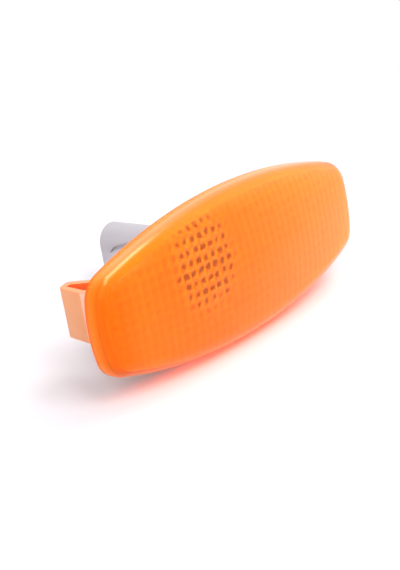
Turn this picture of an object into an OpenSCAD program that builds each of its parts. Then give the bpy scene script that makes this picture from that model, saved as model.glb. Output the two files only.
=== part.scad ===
// Side repeater lamp: an amber lens welded to a moulded housing that springs into a body panel,
// with a wedge bulb in a quarter-turn holder behind it.
// The origin is the centre of the panel cut-out on the panel's outer face.
// X runs along the lamp, Z is up and the lens faces -Y.

/* [Lens] */
// Length of the lens, along X
lens_l = 84; // [72:0.5:100]
// Height of the lens at its middle
lens_h = 33.4; // [31:0.1:40]
// Height of the lens at its ends, before the corners are rounded
lens_end_h = 19.8; // [17:0.1:24]
// How far each end of the lens bows outwards
lens_end_bow = 1.6; // [1:0.1:3]
// Radius of the four corners of the lens outline
lens_corner_r = 5.8; // [4.8:0.1:7]
// Depth from the back edge of the lens to its face at the rim
lens_rim_d = 5.2; // [4.8:0.1:8]
// Radius that rounds the lens wall over into its face
lens_edge_r = 4.5; // [3:0.1:4.7]
// Rise of the face along the length
face_rise_l = 1.5; // [0.5:0.1:3]
// Rise of the face across the height
face_rise_h = 2.9; // [1:0.1:4]
// Thickness of the lens face
lens_t = 1.8; // [1.4:0.1:2.2]
// Thickness of the lens side wall, at the housing
lens_wall_t = 2; // [1.6:0.1:2.4]
// Depth of the rebate that takes the housing flange, measured across the wall
rebate_w = 1; // [0.7:0.05:1.3]

/* [Optics] */
// Width of one pillow optic, along X
pillow_w = 2.08; // [1.7:0.02:3]
// Height of one pillow optic, along Z
pillow_h = 2.2; // [1.8:0.05:3]
// Rise of each pillow from the inner face
pillow_rise = 0.3; // [0.15:0.05:0.5]
// Width of the chamfer between the optics and the side wall
chamfer = 0.5; // [0.3:0.1:0.8]

/* [Housing] */
// Thickness of the housing flange
flange_t = 1.8; // [1.4:0.1:2]
// Length of lens beyond each end wall of the bowl
bowl_lap_l = 15.5; // [14:0.5:18]
// Height of lens beyond the bowl, at its middle
bowl_lap_h = 5.4; // [5:0.1:6.5]
// Height of lens beyond the bowl, at its ends
bowl_lap_end = 2.6; // [2:0.1:4]
// How far each end of the bowl bows outwards
bowl_bow = 1.2; // [0.8:0.1:2]
// Radius of the bowl's corners
bowl_corner_r = 4; // [3:0.1:5]
// Depth of the bowl behind the panel's outer face
bowl_d = 7; // [6:0.1:9]
// Wall thickness of the bowl
bowl_t = 1.8; // [1.4:0.1:2.2]
// Draft of the bowl's walls over their depth
bowl_draft = 0.6; // [0.3:0.1:1]
// Radius round the bowl's back edge
bowl_edge_r = 1.6; // [1:0.1:2]
// Length of the boss behind the bowl that carries the bulb holder
boss_l = 3; // [2:0.1:5]
// Wall thickness of the boss outside the bayonet notches
boss_t = 1.2; // [1:0.1:1.6]
// Height of the two stiffening ribs on the bowl's back
rib_h = 1.4; // [0.8:0.1:2]
// Thickness of the ribs
rib_t = 1.2; // [1:0.1:1.6]

/* [Panel fixing] */
// Thickness of the body panel that the lamp clips into
panel_t = 1; // [0.7:0.1:1.2]
// Thickness of the gasket when fitted
gasket_t = 1.2; // [0.8:0.1:2]
// Width of the gasket's section
gasket_w = 2.4; // [1.8:0.1:3]
// Distance from the lens edge to the gasket
gasket_inset = 1.8; // [1.4:0.1:2.2]
// Thickness of the spring clip's rear leg
clip_t = 1.7; // [1.4:0.1:2]
// Thickness of the clip's outer leg at its crest
clip_crest_t = 1.6; // [1.4:0.1:1.8]
// Thickness of the clip at the outer corner of its bend
clip_bend_t = 1.2; // [1:0.1:1.6]
// Height of the spring clip
clip_h = 11; // [9:0.1:12]
// How far the clip's bend lies above its foot
clip_lift = 0.3; // [0:0.1:0.6]
// Distance from the lens end to the clip's bend
clip_inset = 6.7; // [6.4:0.1:8]
// Depth of the clip's bend behind the panel's outer face
clip_d = 13.4; // [11.5:0.1:14]
// How much less deep the bend's outer corner is
clip_bend_slope = 0.6; // [0:0.1:1]
// Outside width of the clip's bend
clip_bend_w = 3.6; // [3.2:0.1:4.4]
// Depth of the clip's crest behind the panel's outer face
clip_crest_d = 6.1; // [5:0.1:8]
// How far the crest stands out past the bend
clip_crest_out = 0.8; // [0.4:0.1:1.2]
// How far the catch slopes inwards from the crest to the free tip
clip_catch = 2.8; // [2.2:0.1:3.2]
// Room between the free tip and the flange
clip_tip_gap = 0.4; // [0.3:0.1:0.8]
// Depth at which the rear leg ends in the bowl's wall
clip_foot_d = 0.6; // [0.4:0.1:2.5]
// Distance from the lens end to the hook's leg at the other end
hook_inset = 8.6; // [8:0.1:10]
// How far the hook reaches behind the panel
hook_reach = 3; // [2:0.1:3.4]
// Thickness of the hook's leg
hook_leg_t = 2.4; // [2:0.1:3]
// Thickness of the hook's toe
hook_t = 2.6; // [2:0.1:3.2]
// Width of the hook
hook_w = 12; // [8:0.5:14]
// Room for the panel under the hook, past its thickness
hook_slack = 0.4; // [0.2:0.1:0.6]
// Slope of the toe's underside over its reach
hook_slope = 0.3; // [0:0.1:0.4]
// Size of the lead-in chamfer on the toe
hook_lead = 1; // [0.6:0.1:1.4]
// How much deeper the gussets are at the bowl
gusset_rise = 1; // [0:0.1:1.4]

/* [Bulb] */
// Overall length of the wedge bulb
bulb_l = 26.8; // [25:0.1:28]
// Diameter of the bulb's glass
bulb_dia = 10.2; // [9.4:0.1:10.6]
// Length of the wedge base
base_l = 9.2; // [8.6:0.1:10]
// Width of the wedge base, along Z
base_w = 9.2; // [8.4:0.1:9.5]
// Thickness of the wedge base, along X
base_t = 2.1; // [1.8:0.1:2.4]
// Wall thickness of the glass
glass_t = 0.6; // [0.4:0.05:0.8]
// Diameter of the bulb's lead wires
wire_dia = 0.5; // [0.4:0.05:0.6]
// Distance between the lead wires
wire_gap = 4; // [3.6:0.1:4.6]
// Distance from the lens optics to the tip of the bulb
tip_gap = 1.15; // [0.6:0.05:2]
// Radius of the glass shoulder at the base
shoulder_r = 1; // [0.6:0.1:1.4]
// Diameter of the pumping hole in the base
pump_dia = 0.9; // [0.6:0.1:1.1]
// Length of lead wire folded up the side of the base
fold_l = 5.5; // [4:0.1:7]
// Diameter of the filament coil
coil_dia = 0.84; // [0.6:0.02:1]
// Number of turns in the coil
coil_turns = 9; // [6:1:14]

/* [Bulb holder] */
// Wall thickness of the holder's front tube
tube_t = 1.1; // [1:0.1:1.4]
// How far the bayonet lugs stand out from the tube
lug_out = 1.2; // [1:0.1:1.6]
// Length of the bayonet lugs, along Y
lug_l = 1.8; // [1.4:0.1:2]
// Angle that each lug spans
lug_angle = 40; // [30:1:50]
// How much wider the notch for each lug is, as an angle
notch_slack = 8; // [4:1:12]
// How far the tube runs past the lugs
tube_lead = 0.4; // [0.2:0.1:0.8]
// Thickness of the seal when fitted
seal_t = 0.8; // [0.6:0.1:1.2]
// How far the seal covers the boss outside the notches
seal_lap = 0.8; // [0.5:0.1:1]
// Thickness of the holder's disc
disc_t = 2.2; // [1.8:0.1:3]
// How far the disc stands out past the boss
disc_lap = 0.3; // [0.1:0.1:0.8]
// Length of the collar behind the disc
collar_l = 1.6; // [1:0.1:2]
// How far the collar stands out past the tube
collar_out = 0.8; // [0.6:0.1:1.2]
// Outside width of the connector shroud, along X
shroud_w = 8.5; // [8:0.1:9.5]
// Outside height of the connector shroud, along Z
shroud_h = 15.4; // [14.4:0.1:17]
// How far the shroud's centre lies below the bulb's axis
shroud_drop = 1.6; // [1:0.1:2]
// Wall thickness of the shroud
shroud_t = 1.4; // [1.1:0.1:1.6]
// Depth of the shroud's cavity
cavity_d = 11; // [9:0.5:13]
// Thickness of the wall between the bulb pocket and the cavity
web_t = 1.2; // [1:0.1:2]
// How far the grip pads stand out from the shroud
pad_out = 1.8; // [1:0.1:2.2]
// Distance from the shroud's mouth to the end of the grip pads
pad_end = 3.2; // [1.5:0.1:4]
// Radius of the pads at their end
pad_end_r = 3.2; // [2:0.1:3.6]
// Radius of the pads at the disc
pad_root_r = 6; // [4.8:0.1:6.4]
// Width of the groove round each pad
groove_w = 0.8; // [0.6:0.1:1.4]
// Depth of the groove in the shroud
groove_d = 0.6; // [0.3:0.1:0.7]

/* [Terminals] */
// Thickness of the terminal strip
strip_t = 0.4; // [0.3:0.05:0.5]
// Width of the terminal's contact leaf
leaf_w = 2.4; // [2:0.1:2.6]
// Distance between the pins in the shroud
pin_gap = 4.6; // [4.3:0.1:5]
// Width of each pin, along Z
pin_w = 1.6; // [1.2:0.1:1.8]
// Thickness of each pin, along X
pin_t = 0.8; // [0.6:0.05:0.9]
// Length of pin that stands in the cavity
pin_l = 6.2; // [5:0.1:7]
// Distance from the round glass to the end of the contact leaf
leaf_end = 1.2; // [0.8:0.1:2]

/* [Clearances] */
// Clearance between the flange and the lens rebate
flange_gap = 0.1; // [0.05:0.05:0.2]
// Radial clearance round the holder's tube and lugs
tube_gap = 0.3; // [0.2:0.05:0.4]
// Clearance round the bulb's glass and base
bulb_gap = 0.3; // [0.2:0.05:0.4]
// Clearance round the terminal strips
strip_gap = 0.05; // [0.03:0.01:0.1]
// Clearance round wires in the glass
wire_clear = 0.03; // [0.02:0.01:0.05]
// Clearance between the seal and the holder's tube
seal_gap = 0.1; // [0.05:0.05:0.2]

/* [Hidden] */
$fn = 64;
eps = 0.01;

// How far cuts run past a face, and joined bodies into each other
over = 1;

// Steps that round each quarter of an outline: its end, its corner and its long edge
end_steps = 3;
corner_steps = 5;
edge_steps = 8;

// Stations along Y, from the panel's outer face
back_y = -gasket_t;
ledge_y = back_y - flange_t;
face_y = back_y - lens_rim_d;
inner_y = face_y + lens_t;
floor_y = bowl_d - bowl_t;
boss_y = bowl_d + boss_l;
disc_y = boss_y + seal_t;
tip_y = inner_y - face_rise_l - face_rise_h + pillow_rise + tip_gap;
base_y = tip_y + bulb_l;
base_top_y = base_y - base_l;
strip_y = base_y + wire_dia + strip_gap;
pocket_y = strip_y + strip_t + strip_gap;
cavity_y = pocket_y + web_t;
mouth_y = cavity_y + cavity_d;
lug_y = floor_y - strip_gap - lug_l;
tube_y = lug_y - tube_lead;

// Radii about the bulb's axis
glass_r = bulb_dia / 2;
tube_bore_r = glass_r + bulb_gap;
tube_r = tube_bore_r + tube_t;
lug_r = tube_r + lug_out;
boss_bore_r = tube_r + tube_gap;
notch_r = lug_r + tube_gap;
boss_r = notch_r + boss_t;
disc_r = boss_r + disc_lap;

// Across the bulb pocket
wire_r = wire_dia / 2;
leaf_x = base_t / 2 + wire_dia + strip_gap;
pocket_x = leaf_x + strip_t + strip_gap;
leaf_z = wire_gap / 2 - wire_r - strip_gap + leaf_w / 2;
shroud_z = -shroud_drop;

// The optics start inside the side wall and fill the face to within half a pillow
field_inset = lens_wall_t + chamfer;
half_columns = floor((lens_l / 2 - field_inset - pillow_w / 2) / pillow_w);

// An outline with bowed long edges, bowed ends and round corners, as the arcs it is made of:
// [edge radius, edge centre z, end radius, end centre x, corner radius, corner centre x, corner centre z]
function barrel(l, h, end_h, bow, r) =
    let (a = l / 2 - bow, s = (h - end_h) / 2,
         edge_r = (a * a + s * s) / (2 * s), edge_z = h / 2 - edge_r,
         end_r = (end_h * end_h / 4 + bow * bow) / (2 * bow), end_x = l / 2 - end_r,
         d = norm([end_x, edge_z]), u = [end_x, -edge_z] / d,
         along = (pow(edge_r - r, 2) - pow(end_r - r, 2) + d * d) / (2 * d),
         across = sqrt(pow(edge_r - r, 2) - along * along))
    [edge_r, edge_z, end_r, end_x, r, along * u[0] + across * u[1], edge_z + along * u[1] - across * u[0]];

// Directions in which a corner meets the end and the long edge
function end_angle(b) = atan2(b[6], b[5] - b[3]);
function edge_angle(b) = atan2(b[6] - b[1], b[5]);

function arc(x, z, r, from, to, steps) =
    [for (i = [0:steps - 1]) let (a = from + (to - from) * i / steps) [x + r * cos(a), z + r * sin(a)]];

// A quarter of an outline, brought in by inset, from the end's middle to the edge's middle
function quarter(b, inset) = let (ae = end_angle(b), at = edge_angle(b)) concat(
    arc(b[3], 0, b[2] - inset, 0, ae, end_steps),
    arc(b[5], b[6], b[4] - inset, ae, at, corner_steps),
    arc(0, b[1], b[0] - inset, at, 90, edge_steps));

function outline(b, inset = 0) =
    let (q = quarter(b, inset), n = len(q) - 1, top = [0, b[1] + b[0] - inset], side = q[0]) concat(
    q, [top], [for (i = [n:-1:1]) [-q[i][0], q[i][1]]],
    [[-side[0], 0]], [for (i = [1:n]) [-q[i][0], -q[i][1]]],
    [[0, -top[1]]], [for (i = [n:-1:1]) [q[i][0], -q[i][1]]]);

// Height of an outline's upper edge at x
function edge_z_at(b, inset, x) =
    abs(x) < (b[0] - inset) * cos(edge_angle(b))
        ? b[1] + sqrt(pow(b[0] - inset, 2) - x * x)
        : b[6] + sqrt(pow(b[4] - inset, 2) - pow(abs(x) - b[5], 2));

// Where the ray at an angle from the centre crosses an outline
function ray_hit(c, r, u) = let (k = c * u) k + sqrt(k * k - c * c + r * r);
function outline_at(b, inset, p) =
    let (u = [abs(p[0]), abs(p[1])] / norm(p), ae = end_angle(b), at = edge_angle(b),
         turn = atan2(u[1], u[0]),
         e = [b[3] + (b[2] - inset) * cos(ae), (b[2] - inset) * sin(ae)],
         t = [(b[0] - inset) * cos(at), b[1] + (b[0] - inset) * sin(at)],
         k = turn < atan2(e[1], e[0]) ? ray_hit([b[3], 0], b[2] - inset, u)
           : turn < atan2(t[1], t[0]) ? ray_hit([b[5], b[6]], b[4] - inset, u)
           : ray_hit([0, b[1]], b[0] - inset, u))
    p / norm(p) * k;

lens_b = barrel(lens_l, lens_h, lens_end_h, lens_end_bow, lens_corner_r);
bowl_b = barrel(lens_l - 2 * bowl_lap_l, lens_h - 2 * bowl_lap_h, lens_end_h - 2 * bowl_lap_end,
                bowl_bow, bowl_corner_r);

// Rise of the lens face at a point
function rise(x, z) = let (u = pow(2 * x / lens_l, 2), v = pow(2 * z / lens_h, 2))
    face_rise_l * (1 - u) + face_rise_h * (1 - v) * (1 - u);

// Two faces for each side of the band between two rings of n points
function band(a, b, n) = [for (i = [0:n - 1], k = [0, 1]) let (j = (i + 1) % n)
    k == 0 ? [a[i], b[i], b[j]] : [a[i], b[j], a[j]]];

function numbers(from, n) = [for (i = [0:n - 1]) from + i];

// A solid through rings of [x, y, z] points, closed by a flat face at each end
module loft(rings) {
    n = len(rings[0]);
    last = len(rings) - 1;
    polyhedron(
        points = [for (r = rings, p = r) p],
        faces = concat(
            [for (k = [0:last - 1], f = band(numbers((k + 1) * n, n), numbers(k * n, n), n)) f],
            [[for (i = [n - 1:-1:0]) i]],
            [numbers(last * n, n)]));
}

// A prism along Y of the 2D shape given in X and Z
module along_y(y0, y1) translate([0, y1, 0]) rotate([90, 0, 0]) linear_extrude(y1 - y0) children();

// A prism along Z of the 2D shape given in X and Y
module along_z(h) translate([0, 0, -h / 2]) linear_extrude(h) children();

// A prism along X of the 2D shape given in Y and Z
module along_x(x0, x1) translate([x0, 0, 0]) rotate([90, 0, 90]) linear_extrude(x1 - x0) children();

module disc(r, y0, y1) along_y(y0, y1) circle(r);

// Part of a ring about the bulb's axis, centred on an angle from +X
module ring_part(r0, r1, y0, y1, at, span) translate([0, y1, 0]) rotate([90, 0, 0])
    rotate([0, 0, at - span / 2]) rotate_extrude(angle = span) translate([r0, 0]) square([r1 - r0, y1 - y0]);

// The lens optics: stations along X, each a column of points in Z that rise to a pillow
function station_x(m) = (m - 2 * half_columns) * pillow_w / 2;
function station_z(m) =
    let (top = edge_z_at(lens_b, field_inset, station_x(m)), n = floor((top - pillow_h / 5) * 2 / pillow_h))
    concat([-top], [for (j = [-n:n]) j * pillow_h / 2], [top]);
function pillow(m, j) = pillow_rise * (1 - (m % 2 == 0 ? 0.5 : 0) - (j % 2 != 0 ? 0.5 : 0));
function station(m) =
    let (x = station_x(m), zs = station_z(m), last = len(zs) - 1, middle = last / 2)
    [for (i = [0:last])
        [x, inner_y - rise(x, zs[i]) + (i == 0 || i == last ? 0 : pillow(m, i - middle)), zs[i]]];

// Faces between two columns of points, always stepping on in the one that lags
function zip(a, b, za, zb, i = 0, j = 0) =
    i == len(a) - 1 && j == len(b) - 1 ? []
    : j == len(b) - 1 || (i < len(a) - 1 && za[i + 1] <= zb[j + 1] + eps)
        ? concat([[a[i], b[j], a[i + 1]]], zip(a, b, za, zb, i + 1, j))
        : concat([[a[i], b[j], b[j + 1]]], zip(a, b, za, zb, i, j + 1));

// A ring of the lens skin: the field's edge brought out to an inset of the outline, at a depth
function skin_ring(edge, inset, y, domed) =
    [for (p = edge)
        let (q = outline_at(lens_b, inset, [p[0], p[2]]))
        [q[0], y - domed * rise(q[0], q[1]), q[1]]];

module lens() {
    last = 4 * half_columns;
    field = [for (m = [0:last]) station(m)];
    starts = [for (m = 0, s = 0; m <= last; s = s + len(field[m]), m = m + 1) s];
    top = [for (m = [0:last]) starts[m] + len(field[m]) - 1];
    points = [for (c = field, p = c) p];
    // The field's edge, once round: up the right end, back along the top, down the left end, along the bottom
    edge_i = concat(
        numbers(starts[last], len(field[last])),
        [for (m = [last - 1:-1:1]) top[m]],
        [for (i = [len(field[0]) - 1:-1:0]) starts[0] + i],
        [for (m = [1:last - 1]) starts[m]]);
    edge = [for (i = edge_i) points[i]];
    n = len(edge);
    inside = [
        skin_ring(edge, lens_wall_t, inner_y + chamfer, 1),
        skin_ring(edge, lens_wall_t, ledge_y, 0),
        skin_ring(edge, rebate_w, ledge_y, 0),
        skin_ring(edge, rebate_w, back_y, 0)];
    rounding = [for (a = [0:22.5:90])
        skin_ring(edge, lens_edge_r * (1 - cos(a)), face_y + lens_edge_r * (1 - sin(a)), 1)];
    rim = rounding[len(rounding) - 1];
    face = [for (k = [0.8, 0.6, 0.4, 0.2])
        [for (p = rim) let (x = p[0] * k, z = p[2] * k) [x, face_y - rise(x, z), z]]];
    rings = concat(inside, [skin_ring(edge, 0, back_y, 0)], rounding, face);
    first = len(points);
    centre = first + len(rings) * n;
    ring_i = [for (k = [0:len(rings) - 1]) numbers(first + k * n, n)];
    out = ring_i[len(rings) - 1];
    color([1, 0.45, 0.1, 0.9]) polyhedron(
        points = concat(points, [for (r = rings, p = r) p], [[0, face_y - rise(0, 0), 0]]),
        faces = concat(
            [for (m = [0:last - 1], f = zip(
                numbers(starts[m], len(field[m])), numbers(starts[m + 1], len(field[m + 1])),
                [for (p = field[m]) p[2]], [for (p = field[m + 1]) p[2]])) f],
            band(edge_i, ring_i[0], n),
            [for (k = [0:len(rings) - 2], f = band(ring_i[k], ring_i[k + 1], n)) f],
            [for (i = [0:n - 1]) [out[i], centre, out[(i + 1) % n]]]));
}

// The bowl's solid between two depths, with drafted walls and a rounded back edge
function bowl_ring(inset, y) = [for (p = outline(bowl_b, inset)) [p[0], y, p[1]]];
module bowl_solid(inset, y0, y1, r) loft(concat(
    [bowl_ring(inset, y0)],
    [for (a = [0:30:90]) bowl_ring(inset + bowl_draft + r * (1 - cos(a)), y1 - r * (1 - sin(a)))]));

// The spring clip: a line of round-ended legs from the free tip, over the crest and round the bend
// to the bowl, as [x, y, thickness]
bend_x = -(lens_l / 2 - clip_inset);
crest_x = bend_x - clip_crest_out + clip_crest_t / 2;
clip_line = [
    [crest_x + clip_catch, back_y + clip_tip_gap + clip_crest_t / 2, clip_crest_t],
    [crest_x, clip_crest_d, clip_crest_t],
    [bend_x + clip_bend_t / 2, clip_d - clip_bend_slope - clip_bend_t / 2, clip_bend_t],
    [bend_x + clip_bend_w - clip_t / 2, clip_d - clip_t / 2, clip_t],
    [bowl_t - (lens_l / 2 - bowl_lap_l), clip_foot_d, clip_t]];

module clip() intersection() {
    along_z(clip_h + 2 * clip_lift + over)
        for (i = [0:len(clip_line) - 2])
            hull() for (p = [clip_line[i], clip_line[i + 1]])
                translate([p[0], p[1]]) circle(d = p[2], $fn = 24);
    along_x(-lens_l, 0) polygon([
        [ledge_y, clip_h / 2], [clip_d + over, clip_h / 2 + clip_lift],
        [clip_d + over, clip_lift - clip_h / 2], [ledge_y, -clip_h / 2]]);
}

// The fixed hook at the other end: a leg on the flange, a toe with a lead-in, and two gussets to the bowl
module hook() {
    x0 = lens_l / 2 - bowl_lap_l - bowl_t;
    x1 = lens_l / 2 - hook_inset;
    y0 = back_y - flange_t / 2;
    y1 = panel_t + hook_slack;
    y2 = y1 + hook_t;
    along_z(hook_w) polygon([
        [x1 - hook_leg_t, y0], [x1, y0], [x1, y1], [x1 + hook_reach, y1 + hook_slope],
        [x1 + hook_reach, y2 - hook_lead], [x1 + hook_reach - hook_lead, y2], [x1 - hook_leg_t, y2]]);
    for (s = [-1, 1]) translate([0, 0, s * (hook_w / 2 - rib_t)])
        along_z(rib_t) polygon([
            [x0, y0], [x1 - hook_leg_t / 2, y0], [x1 - hook_leg_t / 2, y2], [x0, y2 + gusset_rise]]);
}

module housing() color([0.93, 0.62, 0.42]) difference() {
    union() {
        along_y(ledge_y, back_y) polygon(outline(lens_b, rebate_w + flange_gap));
        bowl_solid(0, back_y - flange_t / 2, bowl_d, bowl_edge_r);
        disc(boss_r, floor_y + bowl_t / 2, boss_y);
        for (s = [-1, 1]) translate([s * (lens_l / 2 - bowl_lap_l - bowl_draft - bowl_edge_r) / 2, bowl_d, 0])
            cube([lens_l / 2 - bowl_lap_l - bowl_draft - bowl_edge_r, 2 * rib_h, rib_t], center = true);
        clip();
        hook();
    }
    bowl_solid(bowl_t, ledge_y - over, floor_y, bowl_edge_r / 2);
    disc(boss_bore_r, floor_y - over, boss_y + over);
    for (a = [90, 270])
        ring_part(tube_r - over, notch_r, floor_y - over, boss_y + over, a, lug_angle + notch_slack);
}

module gasket() color([0.2, 0.2, 0.21]) along_y(back_y, 0) difference() {
    polygon(outline(lens_b, gasket_inset));
    polygon(outline(lens_b, gasket_inset + gasket_w));
}

// An upright slot shape with round ends, centred on the shroud
function obround(w, h) = concat(
    arc(0, shroud_z + (h - w) / 2, w / 2, 0, 180, 18), [[-w / 2, shroud_z + (h - w) / 2]],
    arc(0, shroud_z - (h - w) / 2, w / 2, 180, 360, 18), [[w / 2, shroud_z - (h - w) / 2]]);

// The grip pads widen from the shroud's mouth towards the disc
module pad_outline(grow = 0) hull() {
    translate([mouth_y - pad_end - pad_end_r, shroud_z]) circle(pad_end_r + grow);
    translate([disc_y + disc_t + pad_root_r / 2, shroud_z]) circle(pad_root_r + grow);
}

// The groove that frees each grip pad from the shroud, behind the collar
module pad_groove(x0, x1) along_x(x0, x1) difference() {
    pad_outline(groove_w);
    pad_outline();
    translate([0, -shroud_h]) square([disc_y + disc_t + collar_l, 2 * shroud_h]);
}

module bulb_holder() color([0.78, 0.77, 0.79]) difference() {
    union() {
        disc(tube_r, tube_y, disc_y + disc_t / 2);
        for (a = [0, 180]) ring_part(tube_r - tube_t / 2, lug_r, lug_y, lug_y + lug_l, a, lug_angle);
        disc(disc_r, disc_y, disc_y + disc_t);
        disc(tube_r + collar_out, disc_y + disc_t / 2, disc_y + disc_t + collar_l);
        along_y(disc_y + disc_t / 2, mouth_y) polygon(obround(shroud_w, shroud_h));
        intersection() {
            along_x(-shroud_w / 2 - pad_out, shroud_w / 2 + pad_out) pad_outline();
            along_y(disc_y + disc_t / 2, mouth_y) polygon(obround(shroud_w + 2 * pad_out, shroud_h - over));
        }
    }
    pad_groove(shroud_w / 2 - groove_d, shroud_w);
    pad_groove(-shroud_w, groove_d - shroud_w / 2);
    disc(tube_bore_r, tube_y - over, base_top_y + bulb_gap);
    translate([-pocket_x, base_top_y - over, -(base_w / 2 + bulb_gap)])
        cube([2 * pocket_x, pocket_y - base_top_y + over, base_w + 2 * bulb_gap]);
    along_y(cavity_y, mouth_y + over) polygon(obround(shroud_w - 2 * shroud_t, shroud_h - 2 * shroud_t));
    for (s = [-1, 1]) translate([-pin_t / 2 - strip_gap, pocket_y - over, pin_z(s) - pin_w / 2 - strip_gap])
        cube([pin_t + 2 * strip_gap, web_t + 2 * over, pin_w + 2 * strip_gap]);
}

module holder_seal() color([0.15, 0.15, 0.16]) along_y(boss_y, disc_y) difference() {
    circle(notch_r + seal_lap);
    circle(tube_r + seal_gap);
}

function pin_z(s) = shroud_z + s * pin_gap / 2;

// A contact leaf beside the wedge base, a strip across the pocket's floor and a pin in the shroud
module terminal(s) color([0.85, 0.68, 0.35]) {
    z0 = s * leaf_z - leaf_w / 2;
    z1 = pin_z(s) - pin_w / 2;
    low = min(z0, z1);
    high = max(z0 + leaf_w, z1 + pin_w);
    side = s > 0 ? leaf_x : -leaf_x - strip_t;
    translate([side, base_top_y + leaf_end, z0])
        cube([strip_t, strip_y + strip_t - base_top_y - leaf_end, leaf_w]);
    translate([s > 0 ? -pin_t / 2 : side, strip_y, low])
        cube([leaf_x + strip_t + pin_t / 2, strip_t, high - low]);
    translate([-pin_t / 2, strip_y, z1]) cube([pin_t, cavity_y + pin_l - strip_y, pin_w]);
}

module terminal_upper() terminal(1);
module terminal_lower() terminal(-1);

// Profile of the envelope about the bulb's axis, from its shoulder to its round tip
function envelope(r, y0, y1) = concat(
    [[0, y0], [r - shoulder_r, y0]],
    arc(r - shoulder_r, y0 - shoulder_r, shoulder_r, 90, 0, 4),
    [[r, y0 - shoulder_r]],
    [for (a = [0:15:75]) [r * cos(a), y1 + r * (1 - sin(a))]], [[0, y1]]);

module turned_y() rotate([90, 0, 0]) mirror([0, 0, 1]) children();

module bulb_glass() color([0.95, 0.95, 0.97, 0.5]) difference() {
    union() {
        turned_y() rotate_extrude() polygon(envelope(glass_r, base_top_y, tip_y));
        translate([-base_t / 2, base_top_y - over, -base_w / 2]) cube([base_t, base_l + over, base_w]);
    }
    turned_y() rotate_extrude()
        polygon(envelope(glass_r - glass_t, base_top_y - 2 * glass_t, tip_y + glass_t));
    disc(pump_dia / 2, base_top_y - 2 * over, base_y + over);
    for (s = [-1, 1]) translate([0, 0, s * wire_gap / 2])
        disc(wire_r + wire_clear, base_top_y - 2 * over, base_y + over);
}

// The coil hangs between the wires at the middle of the round glass
filament_y = (tip_y + base_top_y) / 2;
module filament() color([0.45, 0.44, 0.43]) {
    l = wire_gap - wire_dia - 2 * wire_clear;
    translate([0, filament_y, -l / 2]) rotate_extrude($fn = 24) polygon(concat([[0, 0]],
        [for (i = [0:coil_turns * 2]) [coil_dia / (i % 2 == 0 ? 3 : 2), l * i / (coil_turns * 2)]],
        [[0, l]]));
}

// A wire from the coil through the glass, round the end of the wedge and up its side
module lead_wire(s) color([0.72, 0.72, 0.7]) translate([0, 0, s * wire_gap / 2]) {
    disc(wire_r, filament_y - wire_dia, base_y + wire_r);
    translate([0, base_y + wire_r, 0]) rotate([0, s * 90, 0]) cylinder(r = wire_r, h = base_t / 2 + wire_r);
    translate([s * (base_t / 2 + wire_r), 0, 0]) disc(wire_r, base_y - fold_l, base_y + wire_r);
    for (x = [0, s * (base_t / 2 + wire_r)]) translate([x, base_y + wire_r, 0]) sphere(wire_r);
}

module lead_wire_upper() lead_wire(1);
module lead_wire_lower() lead_wire(-1);

lens();
housing();
gasket();
bulb_holder();
holder_seal();
terminal_upper();
terminal_lower();
bulb_glass();
filament();
lead_wire_upper();
lead_wire_lower();
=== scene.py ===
"""Looks of the amber side repeater lamp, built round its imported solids.

Lengths are in millimetres in the part's own frame and become metres when a mesh is made.
X runs along the lamp, Y from the lens through the panel to the bulb holder, and Z is up.
"""

import logging
import math
from dataclasses import dataclass, field
from enum import Enum
from typing import Any, Sequence

import bmesh
import bpy
import numpy as np
from mathutils import Matrix, Vector
from mathutils.kdtree import KDTree


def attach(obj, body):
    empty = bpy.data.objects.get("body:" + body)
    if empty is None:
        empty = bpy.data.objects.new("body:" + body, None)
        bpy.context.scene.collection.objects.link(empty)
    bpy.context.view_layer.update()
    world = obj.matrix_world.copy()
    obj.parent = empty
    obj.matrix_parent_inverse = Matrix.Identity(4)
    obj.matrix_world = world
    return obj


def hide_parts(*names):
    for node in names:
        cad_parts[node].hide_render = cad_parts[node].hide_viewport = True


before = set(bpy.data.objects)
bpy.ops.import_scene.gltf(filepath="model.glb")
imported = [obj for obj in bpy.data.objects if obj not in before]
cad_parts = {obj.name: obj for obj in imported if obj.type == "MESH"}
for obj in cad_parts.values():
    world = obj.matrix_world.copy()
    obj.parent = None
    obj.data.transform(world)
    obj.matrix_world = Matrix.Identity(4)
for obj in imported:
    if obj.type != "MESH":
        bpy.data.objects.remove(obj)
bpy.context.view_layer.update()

MM = 0.001
BODY = "root"
log = logging.getLogger("lamp")


class Slot(Enum):
    """Material slots of the record, one for each kind of piece made here."""

    LENS = "amber_lens"
    HOUSING = "housing_plastic"
    GASKET = "gasket_rubber"
    HOLDER = "holder_plastic"
    SEAL = "seal_rubber"
    TUNGSTEN = "tungsten"


# Shader maths


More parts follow.
